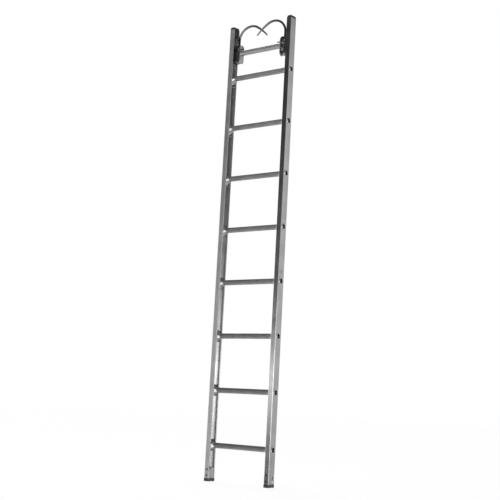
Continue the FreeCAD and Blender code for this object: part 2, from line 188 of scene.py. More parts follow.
def own(name, mesh, node, body, smooth):
    """Closes the seams of a mesh, turns its faces outwards and puts it on its body in place of
    a frame node."""
    work = bmesh.new()
    work.from_mesh(mesh)
    bmesh.ops.remove_doubles(work, verts=work.verts, dist=0.002 * MM)
    bmesh.ops.recalc_face_normals(work, faces=work.faces)
    work.to_mesh(mesh)
    work.free()
    mesh.polygons.foreach_set("use_smooth", [True] * len(mesh.polygons))
    mesh.set_sharp_from_angle(angle=radians(smooth))
    made = bpy.data.objects.new(name, mesh)
    bpy.context.scene.collection.objects.link(made)
    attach(made, body)
    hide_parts(node)
    slot = next(s["material_slot"] for s in frame["record"]["subparts"] if s["node"] == node)
    paint(made, slot)
    return made


# ---------------------------------------------------------------- node materials

def add(tree, kind, sockets=None, **settings):
    """A shader node with its settings; a socket is linked and any other value is set."""
    node = tree.nodes.new("ShaderNode" + kind)
    for key, value in settings.items():
        setattr(node, key, value)
    for key, value in (sockets or {}).items():
        if isinstance(value, bpy.types.NodeSocket):
            tree.links.new(value, node.inputs[key])
        else:
            node.inputs[key].default_value = value
    return node


def grey(value):
    return (value, value, value * 1.012, 1)


def noise(tree, scale, stretch=(1, 1, 1), detail=3.0, seed=0.0):
    """Noise on the object's own coordinates, in cycles per metre, stretched per axis."""
    where = add(tree, "TexCoord").outputs["Object"]
    placed = add(tree, "Mapping", {"Vector": where, "Scale": stretch, "Location": (seed, seed, seed)})
    texture = add(tree, "TexNoise", {"Vector": placed.outputs[0], "Scale": scale, "Detail": detail})
    return texture.outputs["Fac"]


def spread(tree, value, low, high, first, last):
    """Maps low..high to first..last, held at both ends."""
    node = add(tree, "MapRange", {"Value": value, "From Min": low, "From Max": high,
                                  "To Min": first, "To Max": last})
    return node.outputs["Result"]


def mixed(tree, share, one, other):
    node = add(tree, "MixRGB", {"Fac": share, "Color1": one, "Color2": other})
    return node.outputs["Color"]


def bumped(tree, height, depth, under=None):
    """A normal that rises by up to depth metres with the height."""
    sockets = {"Height": height, "Distance": depth, "Strength": 1.0}
    if under:
        sockets["Normal"] = under
    return add(tree, "Bump", sockets).outputs["Normal"]


def worn(tree, sharp):
    """High on outer edges and corners, broken up by noise."""
    edge = add(tree, "NewGeometry").outputs["Pointiness"]
    ragged = add(tree, "Math", {0: edge, 1: spread(tree, noise(tree, 260), 0.3, 0.7, -0.03, 0.03)},
                 operation="ADD")
    return spread(tree, ragged.outputs[0], sharp, sharp + 0.04, 0.0, 1.0)


def material(name, colour, roughness, normal=None, metallic=1.0, **fixed):
    """Closes a recipe: colour, roughness and normal may be sockets of the same tree."""
    made = bpy.data.materials.new(name)
    made.use_nodes = True
    tree = made.node_tree
    tree.nodes.clear()
    sockets = {"Base Color": colour(tree), "Roughness": roughness(tree), "Metallic": metallic}
    if callable(metallic):
        sockets["Metallic"] = metallic(tree)
    if normal:
        sockets["Normal"] = normal(tree)
    sockets.update(fixed)
    shader = add(tree, "BsdfPrincipled", sockets)
    add(tree, "OutputMaterial", {"Surface": shader.outputs[0]})
    return made


def in_channel(tree):
    """1 on the faces inside a rail's channel, 0 on its outside."""
    where = add(tree, "TexCoord").outputs["Object"]
    axes = add(tree, "SeparateXYZ", {0: where}).outputs
    deep = add(tree, "Math", {0: add(tree, "Math", {0: axes["X"]}, operation="ABSOLUTE").outputs[0],
                              1: RAIL_INSIDE_X}, operation="LESS_THAN")
    narrow = add(tree, "Math", {0: add(tree, "Math", {0: axes["Y"]}, operation="ABSOLUTE").outputs[0],
                                1: RAIL_INSIDE_Y}, operation="LESS_THAN")
    return add(tree, "Math", {0: deep.outputs[0], 1: narrow.outputs[0]}, operation="MULTIPLY").outputs[0]


def extruded(name, light, dark, rough, along, inside=None, metallic=1.0, swirl=0.6, lines=0.012):
    """Aluminium from a die: fine lines along its length, faint handling marks across it, and
    stains that dull it in patches."""
    fine = tuple(4.0 if i == along else 900.0 for i in range(3))
    coarse = tuple(1.0 if i == along else 150.0 for i in range(3))

    def colour(tree):
        patches = spread(tree, noise(tree, 9, detail=4), 0.35, 0.65, 0, 1)
        stain = mixed(tree, patches, grey(dark), grey(light))
        streak = spread(tree, noise(tree, 1, coarse, seed=3.1), 0.3, 0.7, 0.0, 0.22)
        return mixed(tree, streak, stain, grey(dark * 0.8))

    def roughness(tree):
        blotch = spread(tree, noise(tree, 14, detail=5, seed=1.7), 0.3, 0.7, rough - 0.04, rough + 0.05)
        if inside is None:
            return blotch
        hidden = add(tree, "Mix", {0: in_channel(tree), 2: blotch, 3: inside})
        return hidden.outputs[0]

    def normal(tree):
        die = bumped(tree, noise(tree, 1, fine, 2.0), lines * MM)
        dents = noise(tree, 38, detail=2, seed=5.0)
        return bumped(tree, dents, 0.025 * MM, die)

    return material(name, colour, roughness, normal, metallic, Anisotropic=swirl)


def cast(name, light, dark, rough, grain, pits, metallic=1.0, bare=None, edge=0.52):
    """A sand casting: rounded grain, a few pits, and edges rubbed back to bare metal."""
    def colour(tree):
        patches = spread(tree, noise(tree, 60, detail=5), 0.35, 0.65, 0, 1)
        base = mixed(tree, patches, grey(dark), grey(light))
        if bare is None:
            return base
        return mixed(tree, worn(tree, edge), base, grey(bare))

    def roughness(tree):
        return spread(tree, noise(tree, 220, detail=4, seed=2.0), 0.3, 0.7, rough - 0.07, rough + 0.08)

    def normal(tree):
        skin = bumped(tree, noise(tree, grain, detail=3), 0.16 * MM)
        hollow = spread(tree, noise(tree, grain * 0.28, seed=9.0), 0.28, 0.4, 0.0, 1.0)
        return bumped(tree, hollow, pits * MM, skin)

    metal = metallic
    if bare is not None and metallic < 1:
        def metal(tree):
            return spread(tree, worn(tree, edge), 0, 1, metallic, 1.0)
    return material(name, colour, roughness, normal, metal)


def casting_painted_with_shade(name):
    """The housing's colour, with painted shade: the lugs and the hollow between them are painted near-black,
    their rubbed edges a little lighter, and the base plate's two ends are bare light casting.

    The bare share rises from 0 to 1 where the distance from the middle plane passes HOUSING_BARE_X and
    the height above or below the middle of the lugs passes HOUSING_SHADE_HALF."""
    low, high = ends("hook_tube")
    middle = (low[2] + high[2]) / 2 + HOUSING_SHADE_RISE

    def towards_web(tree):
        where = add(tree, "TexCoord").outputs["Object"]
        split = add(tree, "SeparateXYZ", {0: where})
        deep = add(tree, "Math", {0: split.outputs["X"]}, operation="ABSOLUTE").outputs[0]
        height = add(tree, "Math", {0: split.outputs["Z"], 1: middle}, operation="SUBTRACT").outputs[0]
        away = add(tree, "Math", {0: height}, operation="ABSOLUTE").outputs[0]
        ragged = add(tree, "Math", {0: deep, 1: spread(tree, noise(tree, 300), 0.3, 0.7, -MM, MM)},
                     operation="ADD")
        sideways = spread(tree, ragged.outputs[0], HOUSING_BARE_X - MM, HOUSING_BARE_X + MM, 0.0, 1.0)
        outside = spread(tree, away, HOUSING_SHADE_HALF - MM, HOUSING_SHADE_HALF + MM, 0.0, 1.0)
        return add(tree, "Math", {0: sideways, 1: outside}, operation="MULTIPLY").outputs[0]

    def colour(tree):
        # Painted shade: near-black where the lugs and the hollow between them lie in shade; rubbed edges
        # lighter.
        black = mixed(tree, noise(tree, 60, detail=5), grey(0.01), grey(0.022))
        rubbed = mixed(tree, worn(tree, 0.56), black, grey(0.16))
        bare = mixed(tree, noise(tree, 60, detail=5), grey(0.4), grey(0.55))
        return mixed(tree, towards_web(tree), rubbed, bare)

    def roughness(tree):
        return spread(tree, noise(tree, 220, detail=4, seed=2.0), 0.3, 0.7, 0.36, 0.5)

    def normal(tree):
        return bumped(tree, noise(tree, 520, detail=3), 0.14 * MM)

    def metal(tree):
        return spread(tree, towards_web(tree), 0, 1, 0.1, 1.0)
    return material(name, colour, roughness, normal, metal)


def drawn(name, light, dark, rough, scale=120.0, depth=0.02, stretch=(1, 1, 1), metallic=1.0):
    """Turned, drawn or plated metal: small blotches and a shallow tool texture."""
    def colour(tree):
        blotches = spread(tree, noise(tree, scale, detail=5), 0.3, 0.7, 0, 1)
        return mixed(tree, blotches, grey(dark), grey(light))

    def roughness(tree):
        smear = noise(tree, scale * 1.7, detail=3, seed=4.0)
        return spread(tree, smear, 0.3, 0.7, rough - 0.05, rough + 0.07)

    def normal(tree):
        return bumped(tree, noise(tree, scale * 6, stretch, 2.0, 6.0), depth * MM)

    return material(name, colour, roughness, normal, metallic)


def ridged(name):
    """Rung metal: crests rubbed bright by hands and boots, grey oxide in the grooves."""
    def crest(tree):
        return add(tree, "Attribute", attribute_name="crest").outputs["Fac"]

    def colour(tree):
        rub = add(tree, "Math", {0: crest(tree), 1: spread(tree, noise(tree, 22), 0.3, 0.7, 0.55, 1.0)},
                  operation="MULTIPLY")
        return mixed(tree, rub.outputs[0], grey(0.20), grey(0.52))

    def roughness(tree):
        return spread(tree, crest(tree), 0.0, 1.0, 0.5, 0.27)

    def normal(tree):
        return bumped(tree, noise(tree, 1, (4, 800, 800), 2.0), 0.015 * MM)

    return material(name, colour, roughness, normal)


def rubber(name):
    """Moulded black rubber with a matt bloom and fine dust."""
    def colour(tree):
        dust = spread(tree, noise(tree, 45, detail=6), 0.52, 0.75, 0.0, 0.55)
        return mixed(tree, dust, grey(0.02), grey(0.1))

    def roughness(tree):
        return spread(tree, noise(tree, 90, seed=2.0), 0.3, 0.7, 0.5, 0.68)

    def normal(tree):
        return bumped(tree, noise(tree, 1500, detail=2), 0.03 * MM)

    return material(name, colour, roughness, normal, metallic=0.0)


MATERIALS = {
    "rail_aluminium": extruded("satin extrusion", 0.62, 0.52, 0.18, along=2, inside=0.13, swirl=0.75),
    # A rougher, less metallic copy of the rail metal, for the left rail only, so that it shows lighter than
    # the right rail: painted light.
    "dull left-rail extrusion with painted light": extruded("dull left-rail extrusion with painted light", 0.62, 0.52, 0.42, 2, 0.13, metallic=0.88),
    "rung_aluminium": ridged("ridged rung metal"),
    "tube_aluminium": extruded("drawn tube metal", 0.52, 0.42, 0.3, along=0),
    "cast_aluminium": cast("light casting", 0.62, 0.5, 0.34, 650, 0.08),
    "plated_plate": drawn("dull zinc plate", 0.58, 0.46, 0.34, 90, 0.02),
    # The housing carries painted shade on its lugs and the hollow between them.
    "housing_casting": casting_painted_with_shade("casting with painted shade"),
    "hook_steel": drawn("dark polished bar", 0.2, 0.13, 0.09, 70, 0.004),
    "spring_steel": drawn("oiled spring wire", 0.3, 0.16, 0.26, 200, 0.01),
    "blackened_steel": drawn("black oxide", 0.035, 0.018, 0.33, 260, 0.012, metallic=0.7),
    "fastener_steel": drawn("bright zinc", 0.72, 0.58, 0.2, 240, 0.01),
    # The rivet is painted near-white and only half metal, as a painted highlight on its head.
    "rivet_aluminium": drawn("rivet with painted highlight", 0.95, 0.85, 0.3, 240, 0.012, metallic=0.45),
    "spur_steel": cast("worn dark paint", 0.09, 0.04, 0.42, 400, 0.1, 0.3, bare=0.4, edge=0.53),
    "cap_rubber": rubber("black rubber"),
    "rolled metal": drawn("rolled end metal", 0.78, 0.64, 0.24, 180, 0.01),
}


def paint(made, slot):
    made.data.materials.clear()
    made.data.materials.append(MATERIALS[slot])


# ---------------------------------------------------------------- rungs and their ends

def rung_piece(node):
    """A ridged tube with a rib across its bore. The outer skin is a radius over angle and
    length: R - depth * fade(x) * (1 - |cos(16 angle)|). Each end is two faces between a
    half circle and a half-moon, and two half-moon passages run from end to end."""
    low, high = ends(node)
    half = high[0]
    radius = (high[1] - low[1]) / 2
    height = (high[2] + low[2]) / 2
    inner = radius - TUBE_WALL
    grip = half - GRIP_INSET
    per_half = RIDGES * 4
    angles = turn(2 * per_half)
    right_half = np.concatenate([
        [0, 0.5, 0.8], np.linspace(0.85, 1, 7) + RIDGE_FADE / grip]) * grip
    stations = np.concatenate([-right_half[:0:-1], right_half, [half]])
    stations = np.concatenate([[-half], stations])
    fade = np.clip((grip - np.abs(stations)) / RIDGE_FADE, 0, 1)[:, None]
    depth = RIDGE_DEPTH * fade * (1 - np.abs(np.cos(RIDGES / 2 * angles)))
    r = radius - depth
    skin = np.stack([np.repeat(stations[:, None], len(angles), 1), r * np.cos(angles),
                     height + r * np.sin(angles)], -1)
    shells = [(skin, "open")]
    across = np.linspace(-1, 1, 17)[1:-1]
    dip = np.arcsin(RIB / 2 / inner)
    arc = np.linspace(0, pi, per_half + 1)
    moon_arc = np.linspace(dip, pi - dip, per_half + 1)
    for side in (1, -1):
        rim = np.concatenate([ring(radius, arc), np.column_stack([across * radius, across * 0])])
        line = np.column_stack([across * inner * cos(dip), np.full(15, RIB / 2)])
        moon = np.concatenate([ring(inner, moon_arc), line])
        for x in (-half, half):
            face = np.stack([flat_in_x(rim, x, side, height), flat_in_x(moon, x, side, height)])
            shells.append((face, "open"))
        passage = [flat_in_x(moon, x, side, height) for x in np.linspace(-half, half, 9)]
        shells.append((np.stack(passage), "open"))
    made = piece(node + "_tube", shells, node)
    mark_crests(made, height, radius)
    return made


def flat_in_x(outline, x, side, height):
    """A YZ outline at one X, upright or upside down, about a height."""
    return np.column_stack([np.full(len(outline), x), outline[:, 0], height + side * outline[:, 1]])


def mark_crests(made, height, radius):
    """Stores for each point how near it is to the top of a ridge."""
    points = np.zeros(len(made.data.vertices) * 3)
    made.data.vertices.foreach_get("co", points)
    points = points.reshape(-1, 3)
    out = np.hypot(points[:, 1], points[:, 2] - height)
    crest = np.clip((out - radius + RIDGE_DEPTH) / RIDGE_DEPTH, 0, 1)
    made.data.attributes.new("crest", "FLOAT", "POINT").data.foreach_set("value", crest)


def turned(profile, axis, place, angles=None):
    """Rows of a turned solid: each profile entry is a radius, or a radius for every angle, and a
    height along the axis from the place."""
    angles = turn(48) if angles is None else angles
    return stand([ring(r, angles) for r, h in profile], [h for r, h in profile], axis, place)


def turned_ring(outer, inner, first, last, soft, axis=(1, 0, 0), place=(0, 0, 0)):
    """Rows of a ring with rounded outer edges between two heights along its axis."""
    bend = np.linspace(0, pi / 2, 5)
    profile = [(inner, first + EASE), (inner + EASE, first)]
    profile += [(outer - soft * (1 - sin(t)), first + soft * (1 - cos(t))) for t in bend]
    profile += [(outer - soft * (1 - cos(t)), last - soft * (1 - sin(t))) for t in bend]
    profile += [(inner + EASE, last), (inner, last - EASE)]
    return turned(profile, axis, place, turn(72))


def dome_screw(place, axis, shank, reach, head, height):
    """A button-head screw. The axis runs from under the head into the metal; the profile goes
    from the shank's end to the head, over a quarter ellipse and down a hexagonal socket."""
    angles = turn(48)
    socket = hexagon(0.9 * head, angles)
    flat = 0.62 * head
    profile = [(shank - EASE, reach), (shank, reach - EASE), (shank, 0), (head - EASE, 0)]
    profile += [(flat + (head - flat) * cos(t), -height * (0.2 + 0.8 * sin(t)))
                for t in np.linspace(0, pi / 2, 7)]
    profile += [(socket + EASE, -height), (socket, EASE - height), (socket, -0.35 * height)]
    return turned(profile, axis, place, angles)


def chamfered_nut(place, axis, flats, height, bore):
    """A hexagonal nut: at both faces the radius is the lesser of the hexagon's and of a cone
    that rises at 30 degrees from just inside the flats."""
    angles = turn(72)
    six = hexagon(flats, angles)
    start = 0.475 * flats
    run = flats / sqrt(3) - start
    climb = [(start + t * run, t * 0.45 * run) for t in (0, 0.3, 0.6, 1)]
    lower = [(np.minimum(six, r), h) for r, h in climb]
    upper = [(r, height - h) for r, h in lower[::-1]]
    profile = [(bore, 2 * EASE), (bore + 2 * EASE, 0)] + lower + upper
    profile += [(bore + 2 * EASE, height), (bore, height - 2 * EASE)]
    return turned(profile, axis, place, angles)


def rounded_end(radius, first, last, soft):
    """Profile of a pin whose far end is rounded over."""
    bend = np.linspace(0, pi / 2, 6)
    return [(radius, first)] + [(radius - soft * (1 - cos(t)), last - soft * (1 - sin(t))) for t in bend]


def side_pieces(side, sign):
    rung_heights = [(ends(r)[0][2] + ends(r)[1][2]) / 2 for r in RUNGS]
    rung_radius = (ends(RUNGS[0])[1][1] - ends(RUNGS[0])[0][1]) / 2
    mouth, outer = sorted(abs(corner[0]) for corner in ends(side + "_rail"))

    def rings():
        """The rolled end of each rung, turned over against the web."""
        low, high = ends(side + "_rung_end_rings")
        edge = max(abs(low[0]), abs(high[0]))
        row = turned_ring(high[1], rung_radius + FIT / 2, outer, edge, 1.3 * MM)
        row[..., 0] *= sign
        shells = [(row + np.array([0, 0, z]), "loop") for z in rung_heights]
        paint(piece(side + "_rolled_rings", shells, side + "_rung_end_rings"), "rolled metal")

    def blocks():
        """The cast blocks that carry the rung ends. A row of the block is an outline in YZ at
        one X: a soft octagon in the channel, then the nose, a circle whose radius falls with X
        and which is held between the beads."""
        node = side + "_rung_blocks"
        low, high = ends(node)
        nose, deep = sorted((abs(low[0]), abs(high[0])))
        y = high[1]
        z = rung_heights[0] - low[2]
        c = BLOCK_CORNER
        corners = [(y, -z + c), (y, z - c), (y - c, z), (-y + c, z), (-y, z - c), (-y, -z + c), (-y + c, -z),
                   (y - c, -z)]
        octagon = soft_outline(corners, 5 * MM, 8)
        polar = np.arctan2(octagon[:, 1], octagon[:, 0])
        face = mouth + BEAD_ROOT + BLOCK_BEAD_GAP
        hold = (RAIL_DEPTH / 2 - BEAD_WALL - FIT) / np.maximum(np.abs(np.cos(polar)), 0.05)
        bend = np.linspace(0, pi / 2, 5)
        bore = ring(rung_radius + FIT / 2, polar)
        rows = [(bore, deep), (bore, nose)]
        for t in bend:
            rows.append((ring(NOSE_LIP - LIP_ROUND * (1 - sin(t)), polar), nose + LIP_ROUND * (1 - cos(t))))
        for s in np.linspace(0, 1, 12)[1:]:
            radius = NOSE_LIP + (z - NOSE_LIP) * (0.75 * s + 0.25 * s ** 3)
            held = (radius ** -14.0 + hold ** -14.0) ** (-1 / 14)
            rows.append((ring(held, polar), nose + LIP_ROUND + (face - nose - LIP_ROUND) * s))
        reach = np.hypot(octagon[:, 0], octagon[:, 1])
        for t in bend:
            inset = BLOCK_ROUND * (1 - sin(t)) / reach
            rows.append((octagon * (1 - inset)[:, None], face + BLOCK_ROUND * (1 - cos(t))))
        rows += [(octagon, deep - MM), (octagon * 0.98, deep)]
        made = stand([o for o, x in rows], [x for o, x in rows], (1, 0, 0))
        made[..., 0] *= sign
        shells = [(made + np.array([0, 0, h]), "loop") for h in rung_heights]
        piece(side + "_end_blocks", shells, node)

    rings()
    blocks()


def bored_plate(outline, bore, first, last, soft):
    """Rows of a plate with rounded edges and a round hole, between two X values: the rows run
    from the hole out over one face, round the rim and back over the other face."""
    polar = np.arctan2(outline[:, 1], outline[:, 0])
    hole = ring(bore, polar)
    bend = np.linspace(0, pi / 2, 5)
    reach = np.hypot(outline[:, 0], outline[:, 1])
    inset = [outline * (1 - soft * (1 - s) / reach)[:, None] for s in np.sin(bend)]
    mouth = ring(bore + 0.8 * MM, polar)
    outlines = [hole, mouth] + inset + inset[::-1] + [mouth, hole]
    along = np.concatenate([[first + 0.8 * MM, first], first + soft * (1 - np.cos(bend)),
                            last - soft * (1 - np.cos(bend[::-1])), [last, last - 0.8 * MM]])
    return stand(outlines, along, (1, 0, 0))


for node in RUNGS:
    rung_piece(node)
for side, sign in SIDES:
    side_pieces(side, sign)


# ---------------------------------------------------------------- hooks and springs

def hook_bar(side, sign):
    """A round bar carried along a planar path. The path's heading is 0 up the shank, grows as
    arc length over the bend radius to 90 degrees past level, then over the tail's radius; the
    bar's radius tapers along the tail, closes as a ball at the tip and carries a thread below."""
    node = side + "_hook"
    housing_top = ends(side + "_index_pin")[0][2] + UPPER_LUG
    bottom = ends(node)[0][2]
    shank = housing_top + SHANK_TOP - bottom
    bend = BEND_RADIUS * (pi / 2 + BEND_PAST_TOP)
    tail_start = shank + bend
    total = tail_start + TAIL_LENGTH
    thread_top = ends(side + "_hook_nut")[1][2] - bottom
    threads = np.arange(1.5 * MM, thread_top, THREAD_PITCH / 10)
    ball = total + TIP_RADIUS * np.sin(np.linspace(0, pi / 2, 9)[:-1])
    along = np.concatenate([
        [0, 0.4 * MM, 0.8 * MM, 1.2 * MM], threads, np.linspace(thread_top, shank, 40),
        np.linspace(shank, tail_start, 120)[1:], np.linspace(tail_start, total, 60)[1:-1], ball])
    down_tail = np.clip(along - tail_start, 0, TAIL_LENGTH)
    heading = np.clip(along - shank, 0, bend) / BEND_RADIUS + down_tail / TAIL_RADIUS
    step = np.diff(along, prepend=0)
    middle = (heading + np.roll(heading, 1)) / 2
    middle[0] = 0
    forward = np.stack([np.sin(middle), np.zeros_like(middle), np.cos(middle)], -1)
    path = np.cumsum(forward * step[:, None], 0)
    radius = BAR_RADIUS + (TIP_RADIUS - BAR_RADIUS) * down_tail / TAIL_LENGTH
    radius *= np.sqrt(np.clip(1 - (np.clip(along - total, 0, None) / TIP_RADIUS) ** 2, 0.0001, 1))
    radius = np.minimum(radius, BAR_RADIUS - 1.5 * MM + along)
    around = turn(48)
    wave = np.abs(((along[:, None] / THREAD_PITCH - around / (2 * pi)) % 1) - 0.5) * 2
    cut = THREAD_DEPTH * wave * (along < thread_top)[:, None]
    r = radius[:, None] - cut
    in_plane = np.stack([np.cos(heading), np.zeros_like(heading), -np.sin(heading)], -1)
    across = np.array([0, 1.0, 0])
    rows = (path[:, None] + (r * np.cos(around))[..., None] * in_plane[:, None]
            + (r * np.sin(around))[..., None] * across)
    centre = (ends(side + "_thrust_washer")[0] + ends(side + "_thrust_washer")[1]) / 2
    rest = REST_SWING * (1 if side == "left" else -1)
    rotate = np.array(Matrix.Rotation(rest, 3, "Z"))
    rows = rows @ rotate.T
    rows[..., 0] *= -sign
    rows += np.array([centre[0], 0, bottom])
    return piece(side + "_hook_bar", [(rows, "caps")], node, side + "_hook_arm")


def coil_spring(side, sign):
    """A wire carried round a helix whose rise per turn fades to the wire's own thickness at
    both ends, so the last coils lie closed."""
    node = side + "_hook_spring"
    low, high = ends(node)
    centre = (low + high) / 2
    mean = (high[0] - low[0]) / 2 - SPRING_WIRE
    turns = np.linspace(0, SPRING_TURNS, int(SPRING_TURNS * 36) + 1)
    from_end = np.minimum(turns, SPRING_TURNS - turns)
    rate = np.clip((from_end - SPRING_DEAD_TURNS) / 0.5, 0, 1)
    closed = 2 * SPRING_WIRE
    room = high[2] - low[2] - 2 * SPRING_WIRE
    step = np.diff(turns, prepend=0)
    open_sum = (rate * step).sum()
    pitch = closed * 1.02 + rate * (room - closed * 1.02 * SPRING_TURNS) / open_sum
    rise = low[2] + SPRING_WIRE + np.cumsum(pitch * step)
    angle = 2 * pi * turns
    out = np.stack([np.cos(angle), np.sin(angle) * -sign, np.zeros_like(angle)], -1)
    path = out * mean + np.array([centre[0], centre[1], 0])
    path[:, 2] = rise
    around = turn(14)
    rows = (path[:, None] + SPRING_WIRE * np.cos(around)[None, :, None] * out[:, None]
            + SPRING_WIRE * np.sin(around)[None, :, None] * np.array([0, 0, 1.0]))
    made = piece(side + "_coil_spring", [(rows, "caps")], node)
    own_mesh(made)
    return made


for side, sign in SIDES:
    hook_bar(side, sign)
    coil_spring(side, sign)


# ---------------------------------------------------------------- hook housing and tube

def cheek(side, sign):
    """The cheek plate, its four screws, the pin above the tube and the tube's collar."""
    low, high = ends(side + "_cheek_plate")
    near, far = sorted((abs(low[0]), abs(high[0])))
    tube_low, tube_high = ends("hook_tube")
    tube_z = (tube_low[2] + tube_high[2]) / 2
    radius = tube_high[1]
    flip = np.array([sign, 1, 1])
    w = high[1]
    corners = [(w, low[2] - tube_z), (w, high[2] - tube_z), (-w, high[2] - tube_z), (-w, low[2] - tube_z)]
    outline = soft_outline(corners, w - EASE, 24)
    rows = bored_plate(outline, radius + FIT / 2, near, far, 1.4 * MM)
    piece(side + "_cheek", [((rows + np.array([0, 0, tube_z])) * flip, "loop")], side + "_cheek_plate")

    low, high = ends(side + "_cheek_screws")
    top = min(abs(low[0]), abs(high[0]))
    reach = max(abs(low[0]), abs(high[0])) - near
    head = CHEEK_SCREW_HEAD
    shells = []
    for y in (low[1] + head, high[1] - head):
        for z in (low[2] + head, high[2] - head):
            screw = dome_screw((near, y, z), (1, 0, 0), 3 * MM, reach, head, near - top)
            shells.append((screw * flip, "caps"))
    piece(side + "_cheek_buttons", shells, side + "_cheek_screws")

    low, high = ends(side + "_cheek_pin")
    centre = (low + high) / 2
    first, last = sorted((abs(low[0]), abs(high[0])))
    pin = turned(rounded_end(high[1] - centre[1], -last, -first, 1.6 * MM), (-1, 0, 0),
                 (0, centre[1], centre[2]))
    piece(side + "_stop_pin", [(pin * flip, "caps")], side + "_cheek_pin")

    low, high = ends(side + "_tube_collar")
    first, last = sorted((abs(low[0]), abs(high[0])))
    collar = turned_ring(high[1], radius + FIT / 2, first, last, 1.2 * MM, place=(0, 0, tube_z))
    piece(side + "_collar", [(collar * flip, "loop")], side + "_tube_collar")


def bracing_tube():
    """The drawn tube between the housings, open at both ends."""
    low, high = ends("hook_tube")
    centre = (low + high) / 2
    stations = np.linspace(low[0], high[0], 15)
    inner = high[1] - TUBE_BORE_WALL
    profile = [(high[1], x) for x in stations] + [(inner, x) for x in stations[::-1]]
    rows = turned(profile, (1, 0, 0), (0, 0, centre[2]), turn(96))
    piece("bracing_tube", [(rows, "loop")], "hook_tube")


def shank_fittings(side):
    """What is on the hook's shank: the index pin, the thrust washer and the nut."""
    low, high = ends(side + "_thrust_washer")
    centre = (low + high) / 2
    washer = turned_ring(high[0] - centre[0], BAR_RADIUS + FIT / 2, low[2], high[2], 0.5 * MM, (0, 0, 1),
                         (centre[0], 0, 0))
    piece(side + "_washer", [(washer, "loop")], side + "_thrust_washer", side + "_hook_slider")

    low, high = ends(side + "_hook_nut")
    nut = chamfered_nut((centre[0], 0, low[2]), (0, 0, 1), HOOK_NUT_FLATS, high[2] - low[2], BAR_RADIUS)
    piece(side + "_locknut", [(nut, "loop")], side + "_hook_nut", side + "_hook_arm")

    low, high = ends(side + "_index_pin")
    half = (high[0] - low[0]) / 2 / cos(REST_SWING)
    radius = (high[2] - low[2]) / 2
    bend = np.linspace(0, pi / 2, 5)
    profile = [(radius - EASE * (1 - sin(t)), EASE * (1 - cos(t)) - half) for t in bend]
    profile += [(r, -h) for r, h in profile[::-1]]
    turned_way = REST_SWING * (1 if side == "left" else -1)
    pin = turned(profile, (cos(turned_way), sin(turned_way), 0), (centre[0], 0, (low[2] + high[2]) / 2))
    piece(side + "_cross_pin", [(pin, "caps")], side + "_index_pin", side + "_hook_arm")


def housing_screws(side):
    """The two button heads through the rear flange into the housing's ears."""
    low, high = ends(side + "_housing_screws")
    head = (high[0] - low[0]) / 2
    x = (low[0] + high[0]) / 2
    seat = RAIL_DEPTH / 2
    shells = [(dome_screw((x, seat, z), (0, -1, 0), 4 * MM, seat - low[1], head, high[1] - seat), "caps")
              for z in (low[2] + head, high[2] - head)]
    piece(side + "_housing_buttons", shells, side + "_housing_screws")


# ---------------------------------------------------------------- feet and caps

def foot_fasteners(side, sign):
    """Two bolts through the flanges with their nuts, and the rivet through the web."""
    low, high = ends(side + "_foot_bolts")
    head = (high[0] - low[0]) / 2
    x = (low[0] + high[0]) / 2
    seat = RAIL_DEPTH / 2
    heights = (low[2] + head, high[2] - head)
    bolts = [(dome_screw((x, -seat, z), (0, 1, 0), 4 * MM, high[1] + seat, head, -seat - low[1]), "caps")
             for z in heights]
    piece(side + "_foot_buttons", bolts, side + "_foot_bolts")
    low, high = ends(side + "_foot_nuts")
    nuts = [(chamfered_nut((x, seat, z), (0, 1, 0), high[0] - low[0], high[1] - seat, 4 * MM), "loop")
            for z in heights]
    piece(side + "_foot_locknuts", nuts, side + "_foot_nuts")

    low, high = ends(side + "_foot_rivet")
    first, last = sorted((abs(low[0]), abs(high[0])))
    web = max(abs(corner[0]) for corner in ends(side + "_rail"))
    radius = (high[1] - low[1]) / 2
    dome = [(radius * cos(t), web + (last - web) * (0.15 + 0.85 * sin(t))) for t in np.linspace(0, 1.5, 9)]
    profile = [(3 * MM, first), (3 * MM, web), (radius - EASE, web)] + dome
    rivet = turned(profile, (1, 0, 0), (0, (low[1] + high[1]) / 2, (low[2] + high[2]) / 2))
    piece(side + "_rivet_head", [(rivet * np.array([sign, 1, 1]), "caps")], side + "_foot_rivet")


